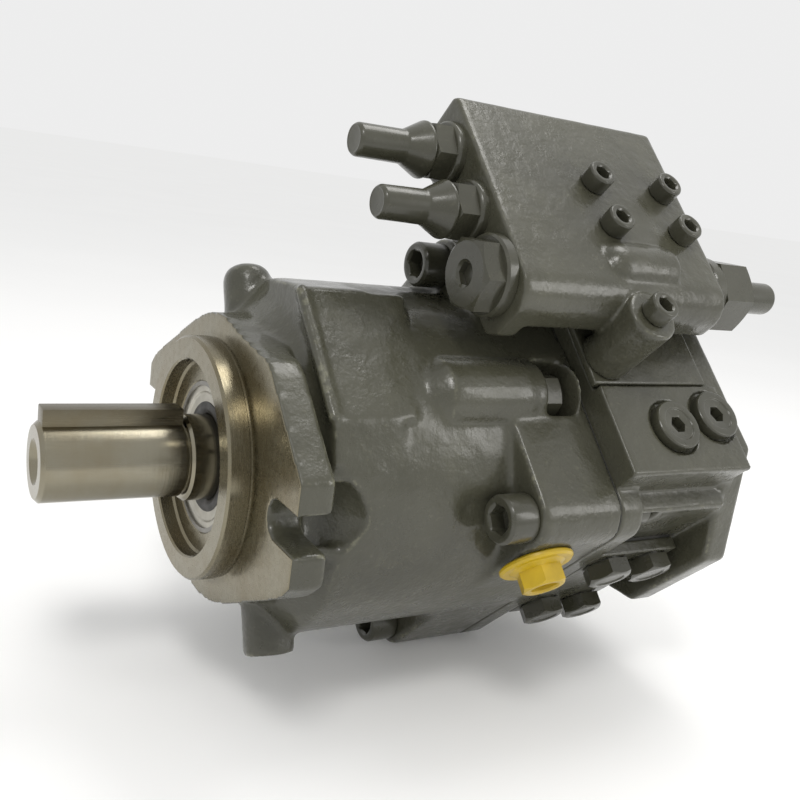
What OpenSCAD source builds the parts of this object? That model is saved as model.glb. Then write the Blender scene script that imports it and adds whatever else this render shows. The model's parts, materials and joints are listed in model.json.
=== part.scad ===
// Axial piston pump of the swashplate kind, with a two-bolt flange and a valve block.
// The shaft turns about X. X = 0 is the mounting face and +X runs to the rear, +Z is up.
// The flange's two slots lie on Y. The rear half is turned about X, so that its valve side
// looks along "up" and its two port sides look along "side" inside valve_side().

/* [Mounting flange] */
// Diameter of the centring pilot
pilot_d = 127; // [120:0.1:130]
// Height of the pilot
pilot_len = 12.7; // [8:0.1:14]
// Distance between the two slot centres
slot_pitch = 181; // [175:0.5:190]
// Width of the open slots
slot_w = 17.5; // [15:0.1:20]
// Thickness of the flange
flange_t = 18; // [16:1:22]

/* [Shaft] */
// Diameter of the keyed shaft end
shaft_d = 40; // [38:0.05:42]
// Length of the shaft in front of the mounting face
shaft_out = 87; // [80:1:92]
// Width of the parallel key
key_w = 12; // [10:0.5:12]
// Length of the parallel key
key_len = 68; // [50:1:68]

/* [Casing] */
// Turn of the valve and port sides about the shaft
turn = 45; // [40:1:50]
// Outer radius of the round casing
case_r = 96; // [94:1:98]
// Inner radius of the casing
cavity_r = 84; // [82:0.5:85]
// Joint face between the housing and the port plate
joint_x = 178; // [176:1:180]
// Half width of the square rear flange
square_half = 94; // [92:1:96]
// Radius from the shaft to the four through bolts
bolt_r = 110; // [108:1:110]
// Rear face of the port plate
rear_x = 280; // [278:1:284]
// Height of the flat face on the valve side of the housing
facet_up = 95; // [94:0.5:97]

/* [Rotating group] */
// Number of pistons
pistons_n = 9; // [7:2:9]
// Diameter of a piston
piston_d = 22; // [18:0.5:22]
// Radius of the circle of pistons
piston_pitch = 49; // [48:0.5:50]
// Position of the piston balls, which is the swashplate's pivot
ball_x = 82; // [81:0.5:83]

/* [Ports] */
// Position of both main ports along the shaft
port_x = 226; // [222:1:228]
// Distance of the port faces from the shaft
port_side = 84; // [82:1:86]
// Radius of the pressure port
pressure_r = 16; // [12:1:16]
// Radius of the suction port
suction_r = 31; // [25:1:31]

/* [Valve block] */
// Front face of the block
block_x0 = 113; // [110:1:116]
// Rear face of the block
block_x1 = 254; // [250:1:258]
// Underside of the block
block_up0 = 110; // [108:1:112]
// Top face of the block
block_up1 = 152; // [150:1:156]
// Lower side of the block
block_side0 = 4; // [2:1:6]
// Upper side of the block
block_side1 = 135; // [130:1:138]
// Height of the three valve bores
bore_up = 131; // [130:0.5:132]

/* [Hidden] */
$fn = 64;
paint = [0.36, 0.345, 0.28];
dark_paint = [0.3, 0.29, 0.24];
steel = [0.72, 0.7, 0.64];
dark_steel = [0.4, 0.4, 0.38];
bronze = [0.72, 0.5, 0.26];
plastic = [0.96, 0.8, 0.1];
rubber = [0.12, 0.12, 0.12];

run = 0.05;                       // radial running clearance
eps = 0.01;                       // overshoot of a cut
shaft_r = shaft_d / 2;
seal_r = 22.5;                    // shaft radius at the seal and the front bearing
seal_out_r = 39.5;
cone_len = 24.75;                 // width of the front bearing
front_x = 8;                      // front of the front bearing
front_out_r = 42.5;
rear_brg_x = 180;                 // front of the rear bearing
rear_brg_w = 17;
rear_brg_r = 31;
rear_journal_r = 15;
spline_r = 18;
recess_r = 51;                    // recess inside the pilot
recess_x = -4;                    // floor of that recess
snap_ring_r = 42.2;
key_h = 12.5;                     // height of the key
key_base = shaft_r - 5;
slipper_x = ball_x - 12;          // running face of the swashplate
ball_r = 8;
group_r = 65;                     // outer radius of the cylinder block
group_x0 = 104;
group_x1 = 169.9;
bore_end = 160;
plate_x = 170;                    // front of the valve plate
spigot_x = 174;                   // front of the port plate's spigot
rocker_r = 44;                    // back of the swashplate
shell_r = 46.5;                   // seat of the rocker shells
rocker_side = [25.5, 46];         // rockers and shells along the pivot
seat_side = [22, 50];             // their seats in the housing
seat_end = 60;
stroke_side = -12;                // axis of the stroking cylinder
stroke_up = 85;
stroke_r = 9;
sleeve_r = 14;
notch_x = 150;                    // notch behind the stroking cylinder, which holds its cap
notch_end = 171;
bias_up = -74.5;                  // axis of the bias unit
bias_rod_r = 3.5;
bias_end = 160;                   // seat of the bias spring
ear_x = 127;                      // seat of the through bolts
ear_end = 194.5;                  // rear of the port plate's square flange
bolt_off = bolt_r * sin(45);
bolt_hole_r = 8.5;
bolt_shank_r = 8;
bolt_head_r = 12.6;
bolt_head_h = 17;
corner_r = 17;
boss_x = 28;                      // two radial bosses behind the flange
boss_tilt = 24;
boss_r = 13.5;
boss_foot = 52;
boss_end = 106;
facet_side = [-30, 44];           // width of the flat face on the valve side
facet_x = [25, 70, 85];           // its front edge, and its rear edge at either side
plug_face_up = 110;               // raised face with the two port plugs
plug_pos = [[221, -45], [255, -39]];
pad_up = 104;                     // seat of the valve block
pad_plate_up = 105.5;
rear_flange_x = 262;
rear_half = 106;
rear_cut = 48;                    // corner cuts of the rear flange
rear_low_cut = 96;                // and the larger one on the lower port side
rear_cover_r = 62;
rear_screw_pitch = 52;
rear_screws_n = 6;
pressure_screw_r = 6;
port_depth = 40;
suction_screw_r = 5.1;
block_screw_r = 5;
pressure_bolts = [31.8, 66.7];
suction_bolts = [50.8, 88.9];
closing_x = 142;                  // yellow closing cap on the lower port side
closing_up = 57;
block_screws = [[186.5, 84], [238, 84], [186.5, 54], [238, 54], [189, -2]];
bore_side = [111, 71, 31];        // valve bores: two compensators and the power valve
spool_r = 6;
spring_bore_r = 9;
spring_x1 = block_x0 + 40;
power_bore_r = 14;
nut_x0 = block_x0 - 17;
washer_x0 = block_x0 - 5;

// ---------- shape helpers ----------

module valve_side() { rotate([turn, 0, 0]) children(); }

// Cylinder about the X direction from x0 to x1
module rod(r, x0, x1) { translate([x0, 0, 0]) rotate([0, 90, 0]) cylinder(r = r, h = x1 - x0); }

// Cone about the X direction, radius r0 at x0 and r1 at x1
module taper(r0, r1, x0, x1) {
    translate([x0, 0, 0]) rotate([0, 90, 0]) cylinder(r1 = r0, r2 = r1, h = x1 - x0);
}

module hex_rod(af, x0, x1) {
    translate([x0, 0, 0]) rotate([0, 90, 0]) cylinder(d = af / cos(30), h = x1 - x0, $fn = 6);
}

module hex_post(af, h) { cylinder(d = af / cos(30), h = h, $fn = 6); }

// Box between two corners
module span(a, b) { translate(a) cube(b - a); }

// Plate with its outline in the Y-Z plane, from x0 to x1
module plate(x0, x1) {
    translate([x0, 0, 0]) rotate([90, 0, 90]) linear_extrude(x1 - x0) children();
}

// Ring with a profile given as [x, radius]
module turned_ring(profile) {
    rotate([0, 90, 0]) rotate_extrude() polygon([for (p = profile) [p[1], p[0]]]);
}

module square_outline(half) {
    inner = half - corner_r;
    square([2 * half, 2 * inner], center = true);
    square([2 * inner, 2 * half], center = true);
    for (a = [-1, 1], b = [-1, 1]) translate([a * inner, b * inner]) circle(corner_r);
}

module rear_outline() {
    k = rear_half - rear_cut;
    low = rear_half - rear_low_cut;
    polygon([[rear_half, k], [k, rear_half], [-k, rear_half], [-rear_half, k],
             [-rear_half, -low], [-low, -rear_half], [k, -rear_half], [rear_half, -k]]);
}

module at_bolts() {
    for (a = [-1, 1], b = [-1, 1]) translate([0, a * bolt_off, b * bolt_off]) children();
}

// Spring along X: mean radius r, wire radius w, whole length from x0 to x1
module coil(r, w, x0, x1, turns) {
    steps = 14;
    sides = 6;
    n = turns * steps;
    pitch = (x1 - x0 - 2 * w) / n;
    pts = [for (i = [0:n], j = [0:sides - 1])
        let (a = 360 * i / steps, b = 360 * j / sides, q = r + w * cos(b))
        [x0 + w + pitch * i + w * sin(b), q * cos(a), q * sin(a)]];
    walls = [for (i = [0:n - 1], j = [0:sides - 1])
        let (k = (j + 1) % sides, a = i * sides, b = a + sides)
        [a + j, a + k, b + k, b + j]];
    first = [for (j = [sides - 1:-1:0]) j];
    last = [for (j = [0:sides - 1]) n * sides + j];
    polyhedron(pts, concat([first], walls, [last]));
}

// Socket head screw pointing down from its seat at the origin
module socket_screw(head_r, head_h, shank_r, shank_len, key_af) {
    difference() {
        cylinder(r = head_r, h = head_h);
        translate([0, 0, head_h * 0.45]) hex_post(key_af, head_h);
    }
    translate([0, 0, -shank_len]) cylinder(r = shank_r, h = shank_len + eps);
}

// ---------- casing ----------

module flange_outline() {
    circle(76);
    polygon([[-112, -25], [-102, -33.5], [-38, -67], [38, -67], [102, -33.5], [112, -25],
             [112, 25], [102, 33.5], [38, 67], [-38, 67], [-102, 33.5], [-112, 25]]);
    polygon([[-103, 32.5], [0, 0], [-26, 72], [-54, 68], [-63, 67], [-69, 63], [-78, 55], [-88, 46]]);
}

module flange_slots() {
    for (a = [-1, 1]) {
        translate([0, a * slot_pitch / 2, 0]) rod(slot_w / 2, -1, flange_t + 1);
        span([-1, min(a, 0) * 130 + max(a, 0) * slot_pitch / 2, -slot_w / 2],
             [flange_t + 1, min(a, 0) * slot_pitch / 2 + max(a, 0) * 130, slot_w / 2]);
    }
}

// Scoops behind the slots, which leave room for the mounting bolts
module bolt_scoops() {
    for (a = [-1, 1]) translate([0, a * 102, 0]) {
        rod(26, flange_t, 29);
        taper(26, 8, 29 - eps, 45);
    }
}

module facet_plan(from, to) {
    valve_side() translate([0, 0, from]) linear_extrude(to - from)
        polygon([[facet_x[0], facet_side[0]], [facet_x[1], facet_side[0]],
                 [facet_x[2], facet_side[1]], [facet_x[0], facet_side[1]]]);
}

// Raised flat face on the valve side, with flanks that run out on the round casing
module facet() {
    facet_plan(50, facet_up);
    valve_side() plate(facet_x[0], facet_x[1] - 8)
        polygon([[facet_side[1], facet_up], [facet_side[0], facet_up], [-52, 80.6], [0, 0], [71.8, 63.7]]);
    valve_side() plate(facet_x[1] - 8 - eps, facet_x[2])
        polygon([[facet_side[1], 88], [facet_side[0], 88], [-50, 80], [0, 0], [70, 63]]);
}

module at_boss(a) { rotate([a - boss_tilt, 0, 0]) translate([boss_x, 0, 0]) children(); }

// Blind cast boss with a domed end, and below it the open boss of the drain port
module radial_bosses() {
    at_boss(0) rotate_extrude() polygon([
        [0, boss_foot], [boss_r, boss_foot], [boss_r, boss_end - 9], [12, boss_end - 4],
        [8, boss_end - 1], [4, boss_end], [0, boss_end]]);
    at_boss(180) translate([0, 0, boss_foot]) cylinder(r = boss_r, h = boss_end - boss_foot);
}

module housing_outside() {
    plate(0, flange_t) flange_outline();
    rod(pilot_d / 2, -pilot_len, 1);
    turned_ring([[flange_t - 1, 60], [flange_t - 1, 78], [34, case_r], [joint_x, case_r], [joint_x, 60]]);
    rod(70, flange_t - 2, 45);
    facet();
    radial_bosses();
    valve_side() plate(ear_x, joint_x) square_outline(square_half);
    at_stroke() {
        rod(20, 90, 140);
        taper(12, 20, 80, 90 + eps);
    }
}

module at_stroke() { valve_side() translate([0, stroke_side, stroke_up]) children(); }
module at_bias() { valve_side() translate([0, 0, bias_up]) children(); }

module housing_cavity() {
    rod(recess_r, -pilot_len - 1, recess_x);
    rod(seal_out_r + run, recess_x - 1, front_x);
    rod(snap_ring_r + run, recess_x + 0.6, recess_x + 2.2);
    rod(front_out_r + run, front_x - eps, front_x + cone_len);
    rod(33, front_x + cone_len - eps, 41);
    rod(cavity_r, 40, joint_x + 1);
    valve_side() span([58, stroke_side - 13, 50], [100, stroke_side + 13, facet_up - 3.5]);
}

// A stretch along the pivot and its mirror image
function both_sides(s) = [s, [-s[1], -s[0]]];

module along_pivot(r, from, to) {
    translate([ball_x, from, 0]) rotate([-90, 0, 0]) cylinder(r = r, h = to - from);
}

// Blocks on the front wall that carry the rocker shells
module rocker_seats() {
    valve_side() for (s = both_sides(seat_side)) span([39, s[0], -52], [seat_end, s[1], 52]);
}

// The concave seats in them, which reach a little into the wall
module rocker_bores() {
    valve_side() for (s = both_sides(seat_side)) along_pivot(shell_r + run, s[0], s[1]);
}

module housing() color(paint) difference() {
    union() {
        difference() {
            housing_outside();
            facet_plan(facet_up, facet_up + 8);
            housing_cavity();
            bolt_scoops();
        }
        rocker_seats();
        at_stroke() rod(19, 96, 173);
    }
    rocker_bores();
    flange_slots();
    at_boss(180) translate([0, 0, 70]) cylinder(r = 10, h = boss_end);
    rod(group_r + 2, 90, joint_x + 1);
    at_stroke() {
        rod(sleeve_r + run, 90, notch_x + 1);
        rod(16, notch_x, notch_end);
        span([notch_x, -16, 0], [notch_end, 16, 30]);
    }
    valve_side() {
        translate([closing_x, -square_half - 1, closing_up]) rotate([-90, 0, 0]) cylinder(r = 6, h = 50);
        at_bolts() rod(bolt_hole_r, ear_x - 1, joint_x + 1);
        at_bolts() rod(corner_r - 0.5, 100, ear_x);
        at_bolts() taper(4, corner_r - 0.5, 84, 100 + eps);
    }
}

module joint_gasket() color(rubber) valve_side() difference() {
    plate(joint_x, joint_x + 0.5) square_outline(square_half - 0.5);
    rod(cavity_r, joint_x - 1, joint_x + 1);
    at_bolts() rod(bolt_hole_r, joint_x - 1, joint_x + 1);
}

module through_bolts() color(dark_paint) valve_side() at_bolts()
    translate([ear_x, 0, 0]) rotate([0, -90, 0])
        socket_screw(bolt_head_r, bolt_head_h, bolt_shank_r, 80, 14);

module closing_cap() color(plastic) valve_side()
    translate([closing_x, -square_half, closing_up]) rotate([90, 0, 0]) {
        cylinder(r = 20, h = 3.5);
        translate([0, 0, 3]) cylinder(r = 12, h = 2);
        translate([0, 0, 3]) hex_post(24, 12);
        translate([0, 0, -12]) cylinder(r = 5.9, h = 13);
    }

module drain_plug() color(dark_paint) at_boss(180) difference() {
    translate([0, 0, boss_end - 14]) cylinder(r = 9.95, h = 12);
    translate([0, 0, boss_end - 8]) hex_post(8, 10);
}

// ---------- shaft, seal and bearings ----------

module drive_shaft() color(steel) difference() {
    union() {
        taper(shaft_r - 2, shaft_r, -shaft_out, -shaft_out + 2);
        rod(shaft_r, -shaft_out + 2 - eps, -17.5);
        rod(shaft_r - 1, -17.6, -15.5);
        rod(seal_r, -15.6, front_x + cone_len);
        rod(24.5, front_x + cone_len - eps, 57);
        rod(spline_r, 57 - eps, 172);
        rod(rear_journal_r, 172 - eps, 214);
    }
    span([-shaft_out + 2, -key_w / 2, key_base], [-shaft_out + 2 + key_len, key_w / 2, 30]);
    rod(7, -shaft_out - 1, -shaft_out + 40);
    taper(11, 7, -shaft_out - eps, -shaft_out + 4);
}

module shaft_key() color(steel) span(
    [-shaft_out + 2, -key_w / 2, key_base],
    [-shaft_out + 2 + key_len, key_w / 2, key_base + key_h]);

module shaft_seal() color([0.75, 0.74, 0.7]) turned_ring([
    [-2.2, 24.5], [-2.2, seal_out_r], [front_x - 1, seal_out_r], [front_x - 1, 36],
    [0, 36], [0, 30], [5, 30], [5, seal_r + run], [3, seal_r + run]]);

module seal_snap_ring() color(dark_steel) difference() {
    union() {
        difference() {
            rod(snap_ring_r, recess_x + 0.6, recess_x + 1.8);
            rod(37.5, recess_x, recess_x + 3);
            rotate([-42, 0, 0]) span([recess_x, -44, -9], [recess_x + 3, 0, 9]);
        }
        for (a = [-1, 1]) rotate([-42 + a * 15, 0, 0])
            translate([0, -36.5, 0]) rod(3.2, recess_x + 0.6, recess_x + 1.8);
    }
    for (a = [-1, 1]) rotate([-42 + a * 15, 0, 0])
        translate([0, -36.5, 0]) rod(1.3, recess_x, recess_x + 3);
}

// Tapered roller bearing: x0 front, w width, ri bore, ro outside
module brg_cup(x0, w, ri, ro) {
    m = (ri + ro) / 2;
    turned_ring([[x0 + 1, ro], [x0 + w - 4, ro], [x0 + w - 4, m + 6.5], [x0 + 1, m + 4]]);
}

module brg_cone(x0, w, ri, ro) {
    m = (ri + ro) / 2;
    turned_ring([[x0, ri], [x0, m - 4.5], [x0 + w, m - 2.2], [x0 + w, ri]]);
}

// Cage with its rollers, which runs between cup and cone
module brg_rollers(x0, w, ri, ro, n) {
    m = (ri + ro) / 2;
    lean = atan(2.4 / w);
    for (i = [0:n - 1]) rotate([360 * i / n, 0, 0])
        translate([x0 + 3, 0, m + 0.15]) rotate([0, 90 - lean, 0])
            cylinder(r1 = 3.5, r2 = 4, h = w - 7);
    turned_ring([[x0 + 1.4, m - 2], [x0 + 1.4, m + 2.4], [x0 + 3.6, m + 2.4], [x0 + 3.6, m - 2]]);
}

module front_bearing_cup() color(steel) brg_cup(front_x, cone_len, seal_r, front_out_r);
module front_bearing_cone() color(steel) brg_cone(front_x, cone_len, seal_r, front_out_r);
module front_bearing_rollers() color(steel)
    brg_rollers(front_x, cone_len, seal_r, front_out_r, 18);

module mirror_rear() {
    translate([2 * rear_brg_x + rear_brg_w, 0, 0]) mirror([1, 0, 0]) children();
}

module rear_bearing_cup() color(steel) mirror_rear()
    brg_cup(rear_brg_x, rear_brg_w, rear_journal_r, rear_brg_r);
module rear_bearing_cone() color(steel) mirror_rear()
    brg_cone(rear_brg_x, rear_brg_w, rear_journal_r, rear_brg_r);
module rear_bearing_rollers() color(steel) mirror_rear()
    brg_rollers(rear_brg_x, rear_brg_w, rear_journal_r, rear_brg_r, 14);

// ---------- rotating group ----------

module around_pistons() {
    for (i = [0:pistons_n - 1]) rotate([360 * i / pistons_n, 0, 0])
        translate([0, 0, piston_pitch]) children();
}

module pistons() color(steel) around_pistons() difference() {
    union() {
        translate([ball_x, 0, 0]) sphere(r = ball_r);
        rod(5.5, ball_x, 92);
        rod(piston_d / 2, 92 - eps, 144);
    }
    rod(7, 110, 145);
    rod(1.2, ball_x - 10, 111);
}

module slippers() color(bronze) around_pistons() difference() {
    union() {
        rod(14, slipper_x + 0.1, slipper_x + 5);
        rod(11.2, slipper_x + 5 - eps, ball_x + 2.5);
    }
    translate([ball_x, 0, 0]) sphere(r = ball_r + run);
    rod(5, slipper_x - 1, slipper_x + 1.2);
    rod(1.2, slipper_x, ball_x);
}

module slipper_retainer() color(steel) difference() {
    rod(65, slipper_x + 5.1, slipper_x + 9);
    around_pistons() rod(11.8, slipper_x, ball_x);
    translate([ball_x, 0, 0]) sphere(r = 28 + run);
}

module retainer_ball() color(steel) difference() {
    intersection() {
        translate([ball_x, 0, 0]) sphere(r = 28);
        rod(30, ball_x - 8, ball_x + 14);
    }
    rod(spline_r, 60, 110);
}

module cylinder_block() color([0.62, 0.6, 0.55]) difference() {
    rod(group_r, group_x0, group_x1);
    rod(spline_r, group_x0 - 1, group_x1 + 1);
    rod(27.5, group_x0 - 1, 142);
    around_pistons() rod(piston_d / 2 + run, group_x0 - 1, bore_end);
    around_pistons() rod(6.5, bore_end - 1, group_x1 + 1);
}

module block_spring() color(dark_steel) coil(23, 2.4, ball_x + 14, 142, 7);

module kidneys(x0, x1) {
    for (side = [0, 180], i = [-4:4]) rotate([side + turn - 90 + 14 * i, 0, 0])
        translate([0, 0, piston_pitch]) rod(6.5, x0, x1);
}

module valve_plate() color(bronze) difference() {
    rod(62, plate_x, spigot_x);
    rod(30, plate_x - 1, spigot_x + 1);
    kidneys(plate_x - 1, spigot_x + 1);
}

// ---------- swashplate and stroking ----------

module rocker_shells() color(bronze) valve_side() for (s = both_sides(rocker_side))
    intersection() {
        difference() {
            along_pivot(shell_r, s[0], s[1]);
            along_pivot(rocker_r, -60, 60);
        }
        span([30, -60, -34], [58, 60, 34]);
    }

module swashplate() color([0.6, 0.58, 0.53]) valve_side() difference() {
    union() {
        rod(66, slipper_x - 9, slipper_x);
        intersection() {
            for (s = both_sides(rocker_side)) along_pivot(rocker_r, s[0], s[1]);
            span([30, -60, -60], [slipper_x - 1, 60, 60]);
        }
        span([slipper_x - 9, stroke_side - 9, 50], [slipper_x, stroke_side + 9, stroke_up + 5]);
        span([slipper_x - 9, -9, bias_up - 7], [slipper_x, 9, -50]);
    }
    rod(33, 20, slipper_x + 1);
}

module stroking_sleeve() color(steel) at_stroke() difference() {
    rod(sleeve_r, 94, 138);
    rod(stroke_r + run, 93, 139);
}

module stroking_piston() color(steel) at_stroke() {
    taper(3, 5, slipper_x + 0.1, slipper_x + 3);
    rod(5, slipper_x + 3 - eps, 97);
    rod(stroke_r, 97 - eps, 132);
}

module stroking_cap() color(dark_paint) at_stroke() difference() {
    union() {
        rod(sleeve_r - run, notch_x - 5, notch_x + 1);
        hex_rod(24, notch_x, notch_x + 14);
        taper(11, 8, notch_x + 14 - eps, notch_x + 17);
    }
    rod(5, notch_x - 6, notch_x + 6);
}

module bias_guide() color(steel) at_bias() {
    rod(bias_rod_r, 110, bias_end + 1);
    rod(7.8, bias_end, spigot_x);
}

module bias_piston() color(steel) at_bias() difference() {
    union() {
        taper(3, 5, slipper_x + 0.1, slipper_x + 3);
        rod(7.5, slipper_x + 3 - eps, slipper_x + 7);
        rod(5.2, slipper_x + 7 - eps, 112);
    }
    rod(bias_rod_r + run, 90, 113);
}

module bias_spring() color(dark_steel) at_bias()
    coil(6.6, 1.2, slipper_x + 7, bias_end, 12);

// ---------- port plate ----------

module port_plate() color(paint) difference() {
    union() {
        rod(cavity_r - 0.1, spigot_x, joint_x + 1);
        valve_side() {
            plate(joint_x + 0.5, ear_end) square_outline(square_half);
            span([joint_x + 0.5, -port_side, -82], [rear_flange_x + 1, port_side, 88]);
            plate(rear_flange_x, rear_x) rear_outline();
            span([joint_x + 0.5, -72, 80], [rear_flange_x + 6, -19, plug_face_up]);
            span([joint_x + 0.5, -20, 80], [rear_flange_x, 98, pad_up]);
        }
    }
    rod(rear_brg_r, spigot_x - 1, rear_brg_x + rear_brg_w - 1);
    rod(24, rear_brg_x, rear_x + 1);
    kidneys(spigot_x - 1, port_x + 7);
    valve_side() {
        at_bolts() rod(bolt_shank_r, joint_x - 1, 212);
        translate([port_x, -port_side - 1, 0]) rotate([-90, 0, 0]) cylinder(r = pressure_r, h = port_depth + 1);
        translate([port_x, port_side + 1, 0]) rotate([90, 0, 0]) cylinder(r = suction_r, h = port_depth + 1);
        bolt_grid(pressure_bolts) translate([0, -port_side - 1, 0]) rotate([-90, 0, 0])
            cylinder(r = pressure_screw_r, h = 23);
        bolt_grid(suction_bolts) translate([0, port_side + 1, 0]) rotate([90, 0, 0])
            cylinder(r = suction_screw_r, h = 26);
        for (p = plug_pos) translate([p[0], p[1], plug_face_up - 14]) cylinder(r = 13.2, h = 20);
        for (p = plug_pos) translate([p[0], p[1], plug_face_up - 2.5]) cylinder(r = 16.5, h = 20);
        for (s = block_screws) translate([s[0], s[1], 86]) cylinder(r = block_screw_r, h = 30);
        at_rear_screws() rod(5, rear_x - 14, rear_x + 1);
    }
}

module bolt_grid(pitch) {
    for (a = [-1, 1], b = [-1, 1])
        translate([port_x + a * pitch[0] / 2, 0, b * pitch[1] / 2]) children();
}

module port_plugs() color(dark_paint) valve_side() for (p = plug_pos)
    translate([p[0], p[1], plug_face_up - 14]) difference() {
        union() {
            cylinder(r = 13.1, h = 12);
            translate([0, 0, 11.6]) cylinder(r = 14.5, h = 6.4);
        }
        translate([0, 0, 9]) hex_post(8, 12);
    }

module at_rear_screws() {
    for (i = [0:rear_screws_n - 1]) rotate([360 * i / rear_screws_n, 0, 0])
        translate([0, 0, rear_screw_pitch]) children();
}

module rear_cover() color(paint) valve_side() difference() {
    union() {
        rod(rear_cover_r, rear_x, rear_x + 10);
        taper(36, 32, rear_x + 10 - eps, rear_x + 14);
        rod(23.95, rear_x - 8, rear_x + 1);
    }
    at_rear_screws() rod(5.5, rear_x - 1, rear_x + 11);
}

module rear_cover_screws() color(dark_paint) valve_side() at_rear_screws()
    translate([rear_x + 10, 0, 0]) rotate([0, 90, 0]) socket_screw(8, 8, 4.95, 22, 8);

module pressure_gasket() color(rubber) valve_side() difference() {
    span([port_x - 29, -port_side - 1.5, -47], [port_x + 29, -port_side, 47]);
    bolt_grid(pressure_bolts) rotate([90, 0, 0]) cylinder(r = 6.5, h = 100);
    translate([port_x, 0, 0]) rotate([90, 0, 0]) cylinder(r = pressure_r, h = 100);
}

module pressure_cover() color(paint) valve_side() difference() {
    span([port_x - 30, -port_side - 9, -48], [port_x + 30, -port_side - 1.5, 48]);
    bolt_grid(pressure_bolts) rotate([90, 0, 0]) cylinder(r = 7, h = 120);
}

module pressure_cover_bolts() color(dark_paint) valve_side() bolt_grid(pressure_bolts)
    translate([0, -port_side - 9, 0]) rotate([90, 0, 0]) {
        hex_post(24, 10);
        translate([0, 0, -28]) cylinder(r = pressure_screw_r - run, h = 29);
    }

// ---------- valve block ----------

module control_gasket() color(rubber) valve_side() difference() {
    span([joint_x + 0.5, -16, pad_up], [rear_flange_x - 2, 96, pad_plate_up]);
    for (s = block_screws) translate([s[0], s[1], 90]) cylinder(r = 5.5, h = 30);
}

module control_adapter() color(paint) valve_side() difference() {
    span([joint_x - 2, -18, pad_plate_up], [rear_flange_x - 1, 98, block_up0]);
    for (s = block_screws) translate([s[0], s[1], 90]) cylinder(r = 5.5, h = 30);
}

// Cross section of the block: (low_side, low_up) sets the chamfer on its lower edge
module block_section(x0, x1, low_side, low_up) {
    round_r = 16;
    translate([x0, 0, 0]) rotate([90, 0, 90]) linear_extrude(x1 - x0) {
        translate([block_side0 + round_r, block_up1 - round_r]) circle(round_r);
        polygon([[block_side0, low_up], [low_side, block_up0],
                 [block_side1 - 4, block_up0], [block_side1, block_up0 + 4],
                 [block_side1, block_up1 - 3], [block_side1 - 3, block_up1],
                 [block_side0 + round_r, block_up1], [block_side0, block_up1 - round_r]]);
    }
}

module block_body() {
    block_section(block_x0, block_x0 + 12, block_side0 + 6, block_up0 + 8);
    block_section(block_x0 + 12 - eps, block_x1, block_side0 + 15, block_up0 + 17);
    translate([block_screws[4][0], block_screws[4][1], block_up0])
        cylinder(r = 14.5, h = block_up1 - block_up0);
    translate([0, bore_side[2], bore_up + 13]) rod(15, 184, 219);
    translate([184, bore_side[2], bore_up + 13]) sphere(r = 15);
}

module control_block() color(paint) valve_side() difference() {
    block_body();
    for (s = block_screws) translate([s[0], s[1], block_up0 - 1]) cylinder(r = 5.5, h = 60);
    for (i = [0, 1]) translate([0, bore_side[i], bore_up]) {
        rod(spring_bore_r, block_x0 - 1, spring_x1);
        rod(spool_r + run, block_x0, block_x1 - 16);
    }
    translate([0, bore_side[2], bore_up]) {
        rod(power_bore_r, block_x0 - 1, block_x0 + 70);
        rod(8 + run, block_x0, block_x1 + 1);
    }
    translate([206, 1, block_up1 - 6]) cylinder(r = 2.5, h = 20);
    translate([130, block_side1 - 8, bore_up + 8]) rotate([-90, 0, 0]) cylinder(r = 5, h = 20);
}

module control_screws() color(dark_paint) valve_side() for (s = block_screws)
    translate([s[0], s[1], block_up1]) socket_screw(8, 10, block_screw_r - run, block_up1 - 88, 8);

module spool(i) {
    valve_side() translate([0, bore_side[i], bore_up]) {
        rod(7.5, spring_x1 - 7.5, spring_x1 - 4.5);
        rod(4, spring_x1 - 5, 236);
        for (x = [spring_x1 + 1, 180, 212]) rod(spool_r, x, x + 16);
    }
}

module pressure_spool() color(steel) spool(0);
module flow_spool() color(steel) spool(1);

module spool_spring(i) {
    valve_side() translate([0, bore_side[i], bore_up])
        coil(6.4, 1, block_x0 + 12, spring_x1 - 7.5, 7);
}

module pressure_spring() color(dark_steel) spool_spring(0);
module flow_spring() color(dark_steel) spool_spring(1);

module power_piston() color(steel) valve_side() translate([0, bore_side[2], bore_up]) {
    rod(12, block_x0 + 52, block_x0 + 58);
    rod(8, block_x0 + 58 - eps, block_x1 - 30);
}

module power_spring() color(dark_steel) valve_side() translate([0, bore_side[2], bore_up])
    coil(10.5, 1.6, block_x0 + 14, block_x0 + 52, 5);

module adjusting_screws() color(steel) valve_side() for (i = [0, 1])
    translate([0, bore_side[i], bore_up]) {
        rod(4.9, block_x0 - 36, block_x0 + 6);
        rod(spring_bore_r - 0.5, block_x0 + 6 - eps, block_x0 + 12);
    }

module lock_nuts() color(dark_paint) valve_side() for (i = [0, 1])
    translate([0, bore_side[i], bore_up]) difference() {
        hex_rod(28, nut_x0, washer_x0);
        rod(5, nut_x0 - 1, washer_x0 + 1);
    }

module lock_washers() color(dark_paint) valve_side() for (i = [0, 1])
    translate([0, bore_side[i], bore_up]) difference() {
        rod(17, washer_x0, block_x0);
        rod(5, washer_x0 - 1, block_x0 + 1);
    }

// Closed cap over an adjusting screw
module cap(i, front) {
    valve_side() translate([0, bore_side[i], bore_up]) difference() {
        union() {
            taper(8, 9, front, front + 1);
            rod(9, front + 1 - eps, nut_x0 - 12);
            taper(9, 15, nut_x0 - 12 - eps, nut_x0);
        }
        rod(5.5, block_x0 - 38, nut_x0 + 1);
    }
}

module pressure_cap() color(paint) cap(0, block_x0 - 58);
module flow_cap() color(paint) cap(1, block_x0 - 56);

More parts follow.
